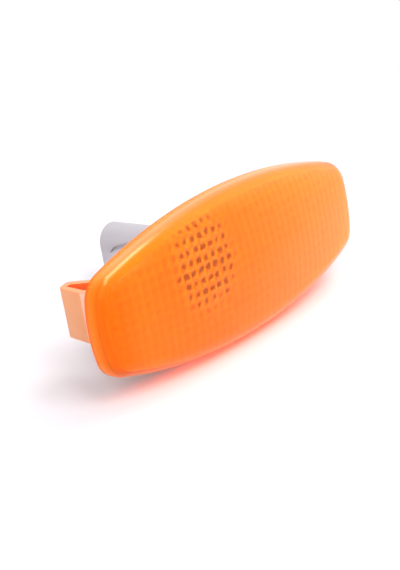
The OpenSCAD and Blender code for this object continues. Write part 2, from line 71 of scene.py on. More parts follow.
class Link:
    """A shader socket that takes part in Python expressions."""

    def __init__(self, recipe: "Recipe", socket: bpy.types.NodeSocket) -> None:
        """Wraps a socket.

        Args:
            recipe: the tree being built.
            socket: an output socket of one of its nodes.
        """
        self.recipe = recipe
        self.socket = socket

    def _math(self, operation: str, left: Any, right: Any) -> "Link":
        """Adds a Math node.

        Args:
            operation: the Math node's operation.
            left: its first value or link.
            right: its second value or link.

        Returns:
            The node's result.
        """
        return self.recipe.node("ShaderNodeMath", {"operation": operation}, {0: left, 1: right})

    def __add__(self, other: Any) -> "Link":
        """Sum."""
        return self._math("ADD", self, other)

    def __radd__(self, other: Any) -> "Link":
        """Sum with a number on the left."""
        return self._math("ADD", other, self)

    def __sub__(self, other: Any) -> "Link":
        """Difference."""
        return self._math("SUBTRACT", self, other)

    def __rsub__(self, other: Any) -> "Link":
        """Difference with a number on the left."""
        return self._math("SUBTRACT", other, self)

    def __mul__(self, other: Any) -> "Link":
        """Product."""
        return self._math("MULTIPLY", self, other)

    def __rmul__(self, other: Any) -> "Link":
        """Product with a number on the left."""
        return self._math("MULTIPLY", other, self)

    def band(self, low: float, high: float, start: float = 0.0, end: float = 1.0) -> "Link":
        """Maps a range of the link smoothly to another range.

        Args:
            low: value that gives start.
            high: value that gives end.
            start: result at and below low.
            end: result at and above high.

        Returns:
            The mapped value.
        """
        return self.recipe.node(
            "ShaderNodeMapRange",
            {"interpolation_type": "SMOOTHSTEP"},
            {"Value": self, "From Min": low, "From Max": high, "To Min": start, "To Max": end},
        )


class Recipe:
    """Builds the node tree of one material or of the world."""

    def __init__(self, owner: bpy.types.Material | bpy.types.World) -> None:
        """Starts an empty tree.

        Args:
            owner: the new material or world.
        """
        self.owner = owner
        owner.use_nodes = True
        self.tree = owner.node_tree
        self.tree.nodes.clear()

    def node(
        self,
        kind: str,
        settings: dict | None = None,
        inputs: dict | None = None,
        output: Any = 0,
    ) -> Link:
        """Adds a node.

        Args:
            kind: the node's type.
            settings: properties that are set before its sockets.
            inputs: values or links by socket name or number.
            output: name or number of the output to return.

        Returns:
            The chosen output.
        """
        made = self.tree.nodes.new(kind)
        for key, value in (settings or {}).items():
            setattr(made, key, value)
        for key, value in (inputs or {}).items():
            socket = made.inputs[key]
            if isinstance(value, Link):
                self.tree.links.new(value.socket, socket)
            else:
                socket.default_value = value
        return Link(self, made.outputs[output])

    def point(self) -> Link:
        """The shaded point in the part's frame, in metres."""
        return self.node("ShaderNodeTexCoord", output="Object")

    def axes(self) -> tuple[Link, Link, Link]:
        """The shaded point's X, Y and Z, in millimetres.

        Returns:
            The three coordinates.
        """
        place = self.node(
            "ShaderNodeVectorMath",
            {"operation": "SCALE"},
            {0: self.point(), "Scale": 1 / MM},
        )
        return tuple(self.node("ShaderNodeSeparateXYZ", inputs={0: place}, output=axis) for axis in "XYZ")

    def seen(self) -> Link:
        """Where the camera sees the point, also in a mirror or through glass.

        Returns:
            1 where it does and 0 elsewhere.
        """
        ways = [f"Is {way} Ray" for way in ("Camera", "Glossy", "Transmission")]
        camera, glossy, through = [self.node("ShaderNodeLightPath", output=way) for way in ways]
        return self.node(
            "ShaderNodeMath",
            {"operation": "MINIMUM"},
            {0: camera + glossy + through, 1: 1.0},
        )

    def noise(self, size: float, detail: float = 3.0) -> Link:
        """Noise from 0 to 1.

        Args:
            size: size of its patches, in millimetres.
            detail: number of finer layers.

        Returns:
            The noise's value.
        """
        return self.node(
            "ShaderNodeTexNoise",
            inputs={"Vector": self.point(), "Scale": 1 / (size * MM), "Detail": detail},
        )

    def mix(self, factor: Any, first: Any, second: Any) -> Link:
        """Mixes two colours.

        Args:
            factor: share of the second colour.
            first: colour or link.
            second: colour or link.

        Returns:
            The mixed colour.
        """
        return self.node(
            "ShaderNodeMix",
            {"data_type": "RGBA"},
            {0: factor, 6: opaque(first), 7: opaque(second)},
            output=2,
        )

    def bump(self, height: Link, depth: float) -> Link:
        """Turns a height into a normal.

        Args:
            height: height from 0 to 1.
            depth: depth that 1 stands for, in millimetres.

        Returns:
            The bumped normal.
        """
        return self.node(
            "ShaderNodeBump",
            inputs={"Height": height, "Distance": depth * MM, "Strength": 1.0},
        )

    def surface(self, shader: Link) -> bpy.types.Material | bpy.types.World:
        """Ends the tree in a shader.

        Args:
            shader: the shader to show.

        Returns:
            The finished material or world.
        """
        of_world = isinstance(self.owner, bpy.types.World)
        output = self.tree.nodes.new("ShaderNodeOutputWorld" if of_world else "ShaderNodeOutputMaterial")
        self.tree.links.new(shader.socket, output.inputs["Surface"])
        return self.owner


def opaque(colour: Any) -> Any:
    """Adds alpha 1 to a colour of three numbers, and leaves a link as it is."""
    return colour if isinstance(colour, Link) or len(colour) == 4 else (*colour, 1.0)


def linear(red: int, green: int, blue: int) -> tuple[float, float, float]:
    """Turns a screen colour from 0 to 255 into the linear colour that shaders use."""
    shares = (red / 255, green / 255, blue / 255)
    return tuple(c / 12.92 if c <= 0.04045 else ((c + 0.055) / 1.055) ** 2.4 for c in shares)


# Finishes


@dataclass(frozen=True)
class Moulded:
    """Moulded plastic or rubber with a faint grain and slow changes of shade.

    The last two tones are painted light on faces that attributes of the same names mark:
    painted shade, deeper and orange, and a paler painted bounce light.
    """

    name: str
    colour: tuple[float, float, float]
    shade: tuple[float, float, float]
    roughness: float
    grain: float
    grain_depth: float
    translucence: float = 0.0
    patches: float = 9.0
    shade_edge: tuple[float, float] = (0.3, 0.7)
    roughness_range: float = 0.12
    refraction: float = 1.5
    scatter: tuple[float, float, float] = (1.0, 0.45, 0.25)
    scatter_reach: float = 1.2
    painted_fold_shade: tuple[float, float, float] | None = None
    painted_bounce_light: tuple[float, float, float] | None = None

    def make(self) -> bpy.types.Material:
        """Builds the material.

        Returns:
            The material.
        """
        r = Recipe(bpy.data.materials.new(self.name))
        slow = r.noise(self.patches, 4.0)
        fine = r.noise(self.grain, 2.0)
        colour = r.mix(slow.band(*self.shade_edge), self.colour, self.shade)
        # Paints the tones of painted shade and painted bounce light on the faces that their attributes
        # mark.
        for name, tone in (("painted_fold_shade", self.painted_fold_shade), ("painted_bounce_light", self.painted_bounce_light)):
            if tone:
                marked = r.node("ShaderNodeAttribute", {"attribute_name": name}, output="Fac")
                colour = r.mix(marked, colour, tone)
        return r.surface(
            r.node(
                "ShaderNodeBsdfPrincipled",
                inputs={
                    "Base Color": colour,
                    "Roughness": fine * self.roughness_range + (self.roughness - self.roughness_range / 2),
                    "Normal": r.bump(fine, self.grain_depth),
                    "IOR": self.refraction,
                    "Subsurface Weight": self.translucence,
                    "Subsurface Radius": self.scatter,
                    "Subsurface Scale": self.scatter_reach * MM,
                },
            )
        )


@dataclass(frozen=True)
class Metal:
    """Drawn or stamped metal with fine lengthwise marks."""

    name: str
    colour: tuple[float, float, float]
    tarnish: tuple[float, float, float]
    roughness: float
    patches: float = 2.2
    tarnish_edge: tuple[float, float] = (0.45, 0.75)
    roughness_range: float = 0.2
    mark_depth: float = 0.01
    mark_scales: tuple[float, float, float] = (9.0, 0.6, 9.0)

    def make(self) -> bpy.types.Material:
        """Builds the material.

        Returns:
            The material.
        """
        r = Recipe(bpy.data.materials.new(self.name))
        patches = r.noise(self.patches, 4.0)
        stretched = [axis * scale for axis, scale in zip(r.axes(), self.mark_scales)]
        lengthwise = r.node("ShaderNodeCombineXYZ", inputs=dict(enumerate(stretched)))
        streaks = r.node("ShaderNodeTexNoise", inputs={"Vector": lengthwise, "Scale": 1.0})
        least_rough = self.roughness - self.roughness_range / 2
        return r.surface(
            r.node(
                "ShaderNodeBsdfPrincipled",
                inputs={
                    "Base Color": r.mix(patches.band(*self.tarnish_edge), self.colour, self.tarnish),
                    "Roughness": streaks * self.roughness_range + least_rough,
                    "Metallic": 1.0,
                    "Normal": r.bump(streaks, self.mark_depth),
                },
            )
        )


@dataclass(frozen=True)
class ClearGlass:
    """Thin clear glass of the bulb."""

    name: str
    tint: tuple[float, float, float]
    patches: float = 3.0
    darker: float = 0.97
    polish: float = 0.02
    refraction: float = 1.47

    def make(self) -> bpy.types.Material:
        """Builds the material.

        Returns:
            The material.
        """
        r = Recipe(bpy.data.materials.new(self.name))
        darker = tuple(c * self.darker for c in self.tint)
        glass = r.node(
            "ShaderNodeBsdfPrincipled",
            inputs={
                "Base Color": r.mix(r.noise(self.patches), self.tint, darker),
                "Roughness": self.polish,
                "IOR": self.refraction,
                "Transmission Weight": 1.0,
            },
        )
        through = r.node("ShaderNodeBsdfTransparent", inputs={"Color": opaque(self.tint)})
        shadow = r.node("ShaderNodeLightPath", output="Is Shadow Ray")
        return r.surface(r.node("ShaderNodeMixShader", inputs={0: shadow, 1: glass, 2: through}))


@dataclass(frozen=True)
class AmberAcrylic:
    """Clear amber acrylic whose inner face, with the optics, is a little milky.

    Clear tints what shines through. Body, pale and deep colour the middle, the right and the left
    of the face, gold the roll, and line the columns of the optics. Rim is painted light on the
    side wall. Dark is painted shade in the spots where the bulb's shaded opening shows through the
    pillows, and pale also paints light over that place and highlight arcs beside the spots. A turn
    is a range of how far a face looks along Y, from 0 on the side wall to 1 in the middle of the
    face. An end is a place along X.
    """

    name: str
    clear: tuple[float, float, float]
    body: tuple[float, float, float]
    pale: tuple[float, float, float]
    deep: tuple[float, float, float]
    gold: tuple[float, float, float]
    rim: tuple[float, float, float]
    line: tuple[float, float, float]
    dark: tuple[float, float, float]
    shadow: tuple[float, float, float]
    cell: tuple[float, float]
    sheen: tuple[float, float, float] = (0.9, 0.62, 0.2)
    outer_haze: float = 0.12
    inner_haze: float = 0.6
    rim_haze: float = 0.25
    side_haze: float = 0.3
    polish: float = 0.06
    roll_roughness: float = 0.1
    body_roughness: float = 0.25
    refraction: float = 1.49
    tint_patches: float = 14.0
    darker: float = 0.97
    roll_turn: tuple[float, float] = (0.45, 0.97)
    side_turn: tuple[float, float] = (0.02, 0.55)
    face_turn: tuple[float, float] = (0.6, 0.85)
    left_end: float = -41.0
    right_end: float = 42.0
    pale_end: float = -20.0
    deep_end: float = -31.0
    gold_end: float = -34.0
    gold_left: float = 0.35
    rim_light_end: float = -32.0
    rim_light_left: float = 0.1
    dark_at: tuple[float, float] = (-14.0, 5.6)
    dark_reach: tuple[float, float] = (9.6, 12.0)
    dark_growth: float = 0.45
    dark_edge: tuple[float, float] = (0.74, 1.22)
    dark_fade: float = 1.3
    gleam_at: tuple[float, float] = (0.5, -0.45)
    gleam_edge: tuple[float, float] = (0.12, 0.45)
    painted_arc_highlight: float = 0.7
    painted_light_net: float = 0.3
    jitter: float = 0.9
    jitter_patches: tuple[float, float] = (1.1, 1.3)
    uneven: float = 1.1
    uneven_patches: float = 1.8
    faint: float = 0.28
    faint_until: float = 0.6
    lines: float = 0.32
    broken: float = 0.35

    def optics(self, r: Recipe, x: Link, z: Link) -> tuple[Link, Link, Link]:
        """Painted shade spots where the bulb's shaded opening shows through the pillows, painted light
        and highlight arcs beside them, and a faint line along each column.

        Args:
            r: the material being built.
            x: the shaded point's X, in millimetres.
            z: the shaded point's Z, in millimetres.

        Returns:
            Strength of the spots of painted shade, of the painted light and highlight arcs beside them
            and of the columns, from 0 to 1.
        """
        x = x + r.noise(self.jitter_patches[0], 1.0) * self.jitter - self.jitter / 2
        z = z + r.noise(self.jitter_patches[1], 1.0) * self.jitter - self.jitter / 2
        along, across = self.pillow(r, x, z)
        # Near marks the place of the bulb's shaded opening behind the face, where the painted shade spots
        # grow and the painted light gathers.
        u = (x - self.dark_at[0]) * (1 / self.dark_reach[0])
        v = (z - self.dark_at[1]) * (1 / self.dark_reach[1])
        near = (u * u + v * v).band(0.0, self.dark_fade, 1.0, 0.0)
        uneven = r.noise(self.uneven_patches, 2.0) * self.uneven - self.uneven / 2
        shade_spot = (along * across + near * self.dark_growth + uneven).band(*self.dark_edge)
        # Painted highlight arcs on one side of each spot, near the opening.
        beside_along, beside_across = self.pillow(r, x - self.gleam_at[0], z - self.gleam_at[1])
        painted_arc_highlight = (beside_along * beside_across - along * across).band(*self.gleam_edge) * near
        painted_spots = shade_spot * near.band(0.0, self.faint_until, self.faint, 1.0)
        column = along * (across * self.broken + (1 - self.broken))
        return painted_spots, near * self.painted_light_net + painted_arc_highlight * self.painted_arc_highlight, column

    def pillow(self, r: Recipe, x: Link, z: Link) -> tuple[Link, Link]:
        """How near a point is to the middle of its pillow.

        Args:
            r: the material being built.
            x: the point's X, in millimetres.
            z: the point's Z, in millimetres.

        Returns:
            1 in the pillow's middle and 0 at its edges, along X and along Z.
        """
        turns = (x * (math.pi / self.cell[0]), z * (math.pi / self.cell[1]) + math.pi / 2)
        waves = [r.node("ShaderNodeMath", {"operation": "SINE"}, {0: turn}) for turn in turns]
        along, across = [r.node("ShaderNodeMath", {"operation": "ABSOLUTE"}, {0: wave}) for wave in waves]
        return along, across

    def make(self) -> bpy.types.Material:
        """Builds the material.

        Returns:
            The material.
        """
        r = Recipe(bpy.data.materials.new(self.name))
        x, _, z = r.axes()
        inside = r.node("ShaderNodeAttribute", {"attribute_name": "inside"}, output="Fac")
        facing = r.node("ShaderNodeAttribute", {"attribute_name": "facing"}, output="Fac")
        skin = 1 - inside
        turned = facing.band(*self.roll_turn, 1.0, 0.0) * skin
        side = facing.band(*self.side_turn, 1.0, 0.0) * skin
        darker = tuple(c * self.darker for c in self.clear)
        clear = r.node(
            "ShaderNodeBsdfPrincipled",
            inputs={
                "Base Color": r.mix(r.noise(self.tint_patches), self.clear, darker),
                "Roughness": turned * self.roll_roughness + self.polish,
                "IOR": self.refraction,
                "Specular Tint": opaque(self.sheen),
                "Transmission Weight": 1.0,
            },
        )
        painted_spots, painted_light_net, column = self.optics(r, x, z)
        face = facing.band(*self.face_turn)
        painted_spots = painted_spots * face
        along = r.mix(x.band(self.pale_end, self.right_end), self.body, self.pale)
        ends = r.mix(x.band(self.left_end, self.deep_end, 1.0, 0.0), along, self.deep)
        # Pale also paints the light over the opening's place and the highlight arcs; line darkens the
        # columns.
        lined = r.mix(column * face * self.lines, r.mix(painted_light_net, ends, self.pale), self.line)
        golden = x.band(self.left_end, self.gold_end, self.gold_left, 1.0)
        rolled = r.mix(turned * golden, lined, self.gold)
        # Rim paints light on the side wall, paler than the face and fainter towards the left end.
        rim_light_share = x.band(self.left_end, self.rim_light_end, self.rim_light_left, 1.0)
        with_rim_light = r.mix(side * rim_light_share, rolled, self.rim)
        body = r.node(
            "ShaderNodeBsdfPrincipled",
            inputs={
                # The dark colour paints shade into the spots.
                "Base Color": r.mix(painted_spots, with_rim_light, self.dark),
                "Roughness": self.body_roughness,
                "IOR": self.refraction,
                "Specular Tint": opaque(self.sheen),
            },
        )
        milk = painted_spots * (1.0 - self.inner_haze) + (self.inner_haze - self.outer_haze)
        haze = inside * milk + turned * self.rim_haze + side * self.side_haze + self.outer_haze
        mixed = r.node("ShaderNodeMixShader", inputs={0: haze, 1: clear, 2: body})
        through = r.node("ShaderNodeBsdfTransparent", inputs={"Color": opaque(self.shadow)})
        shadow = r.node("ShaderNodeLightPath", output="Is Shadow Ray")
        return r.surface(r.node("ShaderNodeMixShader", inputs={0: shadow, 1: mixed, 2: through}))


# Mesh helpers


def mesh_object(name: str, points: np.ndarray, faces: Sequence[Sequence[int]]) -> bpy.types.Object:
    """Makes an object from points in millimetres.

    Args:
        name: the object's name.
        points: n by 3 array.
        faces: point numbers of each face.

    Returns:
        The linked object.
    """
    mesh = bpy.data.meshes.new(name)
    mesh.from_pydata((np.asarray(points, float) * MM).tolist(), [], [list(map(int, f)) for f in faces])
    made = bpy.data.objects.new(name, mesh)
    bpy.context.scene.collection.objects.link(made)
    bm = bmesh.new()
    bm.from_mesh(mesh)
    bmesh.ops.recalc_face_normals(bm, faces=bm.faces)
    bm.to_mesh(mesh)
    bm.free()
    return made


def loft(rings: Sequence[np.ndarray]) -> tuple[np.ndarray, list[tuple[int, ...]]]:
    """Skins closed rings of equal length and closes both ends with a fan.

    Args:
        rings: arrays of n by 3 points.

    Returns:
        The points and the faces.
    """
    n = len(rings[0])
    points = np.vstack([*rings, rings[0].mean(0), rings[-1].mean(0)])
    faces = [
        (k * n + i, k * n + (i + 1) % n, (k + 1) * n + (i + 1) % n, (k + 1) * n + i)
        for k in range(len(rings) - 1)
        for i in range(n)
    ]
    first, last = len(points) - 2, len(points) - 1
    end = (len(rings) - 1) * n
    faces += [((i + 1) % n, i, first) for i in range(n)]
    faces += [(end + i, end + (i + 1) % n, last) for i in range(n)]
    return points, faces


def baked(source: bpy.types.Object, name: str) -> bpy.types.Object:
    """Turns an object with modifiers into a plain mesh object.

    Args:
        source: the object, which is removed.
        name: the new object's name.

    Returns:
        The plain object.
    """
    bpy.context.view_layer.update()
    graph = bpy.context.evaluated_depsgraph_get()
    final = source.evaluated_get(graph)
    mesh = bpy.data.meshes.new_from_object(final, preserve_all_data_layers=True, depsgraph=graph)
    made = bpy.data.objects.new(name, mesh)
    bpy.context.scene.collection.objects.link(made)
    bpy.data.objects.remove(source)
    return made


def smooth(piece: bpy.types.Object, degrees: float) -> None:
    """Shades a piece smooth, apart from edges sharper than an angle.

    Args:
        piece: the piece.
        degrees: the angle.
    """
    piece.data.shade_smooth()
    piece.data.set_sharp_from_angle(angle=math.radians(degrees))


def mark_faces(piece: bpy.types.Object, skin: Sequence[tuple[Vector, Vector]], degrees: float) -> None:
    """Stores on a piece's points whether they are inside it and how far they face along Y.

    The points of its skin also get back the normals that they had before the piece was cut.

    Args:
        piece: the piece, shaded smooth.
        skin: the points of its outer skin with their normals.
        degrees: a face keeps its own normal where the skin's normal is further away than this.
    """
    tree = KDTree(len(skin))
    for number, (point, _) in enumerate(skin):
        tree.insert(point, number)
    tree.balance()
    inside = piece.data.attributes.new("inside", "FLOAT", "POINT")
    facing = piece.data.attributes.new("facing", "FLOAT", "POINT")
    same_place = 0.003 * MM
    known: dict[int, Vector] = {}
    for number, vertex in enumerate(piece.data.vertices):
        _, nearest, distance = tree.find(vertex.co)
        if distance < same_place:
            known[number] = skin[nearest][1]
        inside.data[number].value = 0.0 if number in known else 1.0
        facing.data[number].value = abs(vertex.normal.y)
    normals = [corner.vector.copy() for corner in piece.data.corner_normals]
    least = math.cos(math.radians(degrees))
    for face in piece.data.polygons:
        for corner in face.loop_indices:
            normal = known.get(piece.data.loops[corner].vertex_index)
            if normal and normal.dot(face.normal) > least:
                normals[corner] = normal
    piece.data.normals_split_custom_set(normals)


def dress(
    piece: bpy.types.Object,
    material: bpy.types.Material,
    slot: Slot,
    *nodes: str,
) -> bpy.types.Object:
    """Gives a piece its finish and its place in the frame.

    Args:
        piece: the finished piece.
        material: its material.
        slot: the record's slot; not used.
        nodes: CAD nodes that it stands for.

    Returns:
        The piece.
    """
    piece.data.materials.clear()
    piece.data.materials.append(material)
    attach(piece, BODY)
    if nodes:
        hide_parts(*nodes)
    log.info("%s: %d faces", piece.name, len(piece.data.polygons))
    return piece


class GeometryTree:
    """Builds a Geometry Nodes tree with named inputs."""

    def __init__(self, name: str, sizes: dict[str, float]) -> None:
        """Starts the tree.

        Args:
            name: the tree's name.
            sizes: its named number inputs and their values.
        """
        self.tree = bpy.data.node_groups.new(name, "GeometryNodeTree")
        self.sizes = dict(sizes)
        face = self.tree.interface
        face.new_socket("Geometry", in_out="INPUT", socket_type="NodeSocketGeometry")
        self.identifiers = {
            key: face.new_socket(key, in_out="INPUT", socket_type="NodeSocketFloat").identifier
            for key in sizes
        }
        face.new_socket("Geometry", in_out="OUTPUT", socket_type="NodeSocketGeometry")
        self.start = self.tree.nodes.new("NodeGroupInput")
        self.end = self.tree.nodes.new("NodeGroupOutput")

    def size(self, key: str) -> bpy.types.NodeSocket:
        """The socket of a named size."""
        return self.start.outputs[key]

    def node(self, kind: str, settings: dict | None = None, inputs: dict | None = None) -> bpy.types.Node:
        """Adds a node.

        Args:
            kind: the node's type.
            settings: properties that are set before its sockets.
            inputs: values or output sockets by input name or number.

        Returns:
            The node.
        """
        made = self.tree.nodes.new(kind)
        for key, value in (settings or {}).items():
            setattr(made, key, value)
        for key, value in (inputs or {}).items():
            if isinstance(value, bpy.types.NodeSocket):
                self.tree.links.new(value, made.inputs[key])
            else:
                made.inputs[key].default_value = value
        return made

    def maths(self, operation: str, left: Any, right: Any = 0.0) -> bpy.types.NodeSocket:
        """Adds a Math node and returns its result.

        Args:
            operation: the Math node's operation.
            left: first value or socket.
            right: second value or socket.

        Returns:
            The result's socket.
        """
        return self.node("ShaderNodeMath", {"operation": operation}, {0: left, 1: right}).outputs[0]

    def run(
        self,
        target: bpy.types.Object,
        geometry: bpy.types.NodeSocket,
        material: bpy.types.Material,
        name: str,
    ) -> bpy.types.Object:
        """Ends the tree, applies it to an object and returns the plain result.

        Args:
            target: the object that carries the modifier.
            geometry: the result's socket.
            material: the material that the tree sets.
            name: the result's name.

        Returns:
            The plain object.
        """
        real = self.node("GeometryNodeRealizeInstances", inputs={"Geometry": geometry})
        final = self.node(
            "GeometryNodeSetMaterial",
            inputs={"Geometry": real.outputs[0], "Material": material},
        )
        self.tree.links.new(final.outputs[0], self.end.inputs[0])
        modifier = target.modifiers.new("rule", "NODES")
        modifier.node_group = self.tree
        for key, value in self.sizes.items():
            modifier[self.identifiers[key]] = float(value)
        made = baked(target, name)
        bpy.data.node_groups.remove(self.tree)
        return made


# Outline shared by the lens, the gasket and the flange


@dataclass(frozen=True)
class Barrel:
    """An outline with bowed long edges, bowed ends and round corners."""

    length: float
    height: float
    end_height: float
    bow: float
    corner: float

    def arcs(self) -> list[tuple[float, float, float, float, float]]:
        """The arcs of one quarter, from the end's middle to the edge's middle.

        Returns:
            Centre x, centre z, radius, first angle and last angle of each arc.
        """
        a = self.length / 2 - self.bow
        s = (self.height - self.end_height) / 2
        edge_r = (a * a + s * s) / (2 * s)
        edge_z = self.height / 2 - edge_r
        end_r = (self.end_height**2 / 4 + self.bow**2) / (2 * self.bow)
        end_x = self.length / 2 - end_r
        d = math.hypot(end_x, edge_z)
        ux, uz = end_x / d, -edge_z / d
        along = ((edge_r - self.corner) ** 2 - (end_r - self.corner) ** 2 + d * d) / (2 * d)
        across = math.sqrt((edge_r - self.corner) ** 2 - along**2)
        cx, cz = along * ux + across * uz, edge_z + along * uz - across * ux
        end_turn = math.atan2(cz, cx - end_x)
        edge_turn = math.atan2(cz - edge_z, cx)
        return [
            (end_x, 0.0, end_r, 0.0, end_turn),
            (cx, cz, self.corner, end_turn, edge_turn),
            (0.0, edge_z, edge_r, edge_turn, math.pi / 2),
        ]

    def ring(self, inset: float, steps: tuple[int, int, int] = (12, 18, 60)) -> np.ndarray:
        """The outline brought in by an inset.

        Args:
            inset: distance inwards.
            steps: number of steps of the end, the corner and the edge of each quarter.

        Returns:
            n by 2 points in X and Z, once round from +X over +Z.
        """
        quarter: list[tuple[float, float]] = []
        for (cx, cz, r, first, last), n in zip(self.arcs(), steps):
            for turn in np.linspace(first, last, n, endpoint=False):
                quarter.append((cx + (r - inset) * math.cos(turn), cz + (r - inset) * math.sin(turn)))
        q = np.array(quarter)
        top = np.array([[0.0, self.height / 2 - inset]])
        half = np.vstack([q, top, q[:0:-1] * (-1, 1)])
        return np.vstack([half, -half])


def at_depth(ring: np.ndarray, y: Any) -> np.ndarray:
    """Places a ring of X and Z points at a depth or at depths of its own."""
    return np.column_stack([ring[:, 0], np.broadcast_to(y, len(ring)), ring[:, 1]])


# The lens


@dataclass
class Lens:
    """The amber moulding with pillow optics on its inner face."""

    outline: Barrel = field(default_factory=lambda: Barrel(84.0, 33.4, 19.8, 1.6, 5.8))
    back: float = -1.2
    rim_depth: float = 5.2
    edge_radius: float = 4.5
    rise_along: float = 1.5
    rise_across: float = 2.9
    thickness: float = 1.8
    wall: float = 2.0
    rebate: float = 1.0
    flange: float = 1.8
    pillow_width: float = 2.08
    pillow_height: float = 2.2
    pillow_rise: float = 0.22
    cell_steps: int = 6
    roll_steps: int = 22
    face_steps: int = 22
    middle_share: float = 0.02
    overcut: float = 1.0
    block_depth: float = 20.0
    weld: float = 0.001
    sharp: float = 24.0

    def rise(self, ring: np.ndarray) -> np.ndarray:
        """How far the face stands out at each point.

        Args:
            ring: n by 2 points in X and Z.

        Returns:
            n distances.
        """
        u = (2 * ring[:, 0] / self.outline.length) ** 2
        v = (2 * ring[:, 1] / self.outline.height) ** 2
        return self.rise_along * (1 - u) + self.rise_across * (1 - v) * (1 - u)

    def outside(self) -> bpy.types.Object:
        """The lens as a full solid, with its wall rolled over into the domed face.

        Returns:
            The object.
        """
        face = self.back - self.rim_depth
        rings = [at_depth(self.outline.ring(0), self.back)]
        for turn in np.linspace(0, math.pi / 2, self.roll_steps):
            ring = self.outline.ring(self.edge_radius * (1 - math.cos(turn)))
            rings.append(at_depth(ring, face + self.edge_radius * (1 - math.sin(turn)) - self.rise(ring)))
        rim = self.outline.ring(self.edge_radius)
        for share in np.linspace(1, self.middle_share, self.face_steps)[1:]:
            ring = rim * share
            rings.append(at_depth(ring, face - self.rise(ring)))
        return mesh_object("lens_outside", *loft(rings))

    def hollow(self) -> bpy.types.Object:
        """The hollow behind the pillows, from the inner wall's outline.

        Returns:
            The object.
        """
        inner = self.back - self.rim_depth + self.thickness
        deep = inner - self.rise_along - self.rise_across - 2 * self.overcut
        ring = self.outline.ring(self.wall)
        rings = [at_depth(ring, y) for y in (self.back + self.overcut, deep)]
        return mesh_object("lens_hollow", *loft(rings))

    def rebate_plug(self) -> bpy.types.Object:
        """The plug that cuts the rebate for the flange.

        Returns:
            The object.
        """
        ring = self.outline.ring(self.rebate)
        rings = [at_depth(ring, y) for y in (self.back + self.overcut, self.back - self.flange)]
        return mesh_object("lens_rebate", *loft(rings))

    def pillow_tree(self, tree: GeometryTree) -> bpy.types.NodeSocket:
        """Adds the rule of the pillowed block to a tree: a grid whose points rise over each cell.

        Args:
            tree: the tree, with the sizes of the cells.

        Returns:
            The block's geometry.
        """
        columns = 2 * math.ceil(self.outline.length / 2 / self.pillow_width)
        rows = 2 * math.ceil(self.outline.height / 2 / self.pillow_height) + 1
        grid = tree.node(
            "GeometryNodeMeshGrid",
            inputs={
                "Size X": tree.maths("MULTIPLY", tree.size("Pillow width"), columns),
                "Size Y": tree.maths("MULTIPLY", tree.size("Pillow height"), rows),
                "Vertices X": columns * self.cell_steps + 1,
                "Vertices Y": rows * self.cell_steps + 1,
            },
        )
        flat = tree.node("GeometryNodeInputPosition").outputs[0]
        place = tree.node("ShaderNodeSeparateXYZ", inputs={0: flat})
        x, z = place.outputs[0], place.outputs[1]
        column = tree.maths("DIVIDE", x, tree.size("Pillow width"))
        row = tree.maths("ADD", tree.maths("DIVIDE", z, tree.size("Pillow height")), 0.5)
        bump_x = tree.maths("ABSOLUTE", tree.maths("SINE", tree.maths("MULTIPLY", column, math.pi)))
        bump_z = tree.maths("ABSOLUTE", tree.maths("SINE", tree.maths("MULTIPLY", row, math.pi)))
        pillow = tree.maths("MULTIPLY", tree.maths("MULTIPLY", bump_x, bump_z), tree.size("Pillow rise"))
        u = tree.maths("POWER", tree.maths("DIVIDE", x, self.outline.length * MM / 2), 2.0)
        v = tree.maths("POWER", tree.maths("DIVIDE", z, self.outline.height * MM / 2), 2.0)
        left = tree.maths("SUBTRACT", 1.0, u)
        across = tree.maths("MULTIPLY", tree.maths("SUBTRACT", 1.0, v), self.rise_across * MM)
        dome = tree.maths("MULTIPLY", tree.maths("ADD", across, self.rise_along * MM), left)
        inner = (self.back - self.rim_depth + self.thickness) * MM
        depth = tree.maths("ADD", tree.maths("SUBTRACT", pillow, dome), inner)
        lifted = tree.node(
            "GeometryNodeSetPosition",
            inputs={
                "Geometry": grid.outputs["Mesh"],
                "Position": tree.node("ShaderNodeCombineXYZ", inputs={0: x, 1: depth, 2: z}).outputs[0],
            },
        )
        backwards = tree.node("ShaderNodeCombineXYZ", inputs={1: 1.0})
        block = tree.node(
            "GeometryNodeExtrudeMesh",
            {"mode": "FACES"},
            {
                "Mesh": lifted.outputs[0],
                "Offset": backwards.outputs[0],
                "Offset Scale": self.block_depth * MM,
                "Individual": False,
            },
        )
        behind = tree.node("GeometryNodeFlipFaces", inputs={"Mesh": block.outputs["Mesh"]})
        joined = tree.node("GeometryNodeJoinGeometry")
        tree.tree.links.new(lifted.outputs[0], joined.inputs[0])
        tree.tree.links.new(behind.outputs[0], joined.inputs[0])
        return tree.node(
            "GeometryNodeMergeByDistance",
            inputs={"Geometry": joined.outputs[0], "Distance": self.weld * MM},
        ).outputs[0]

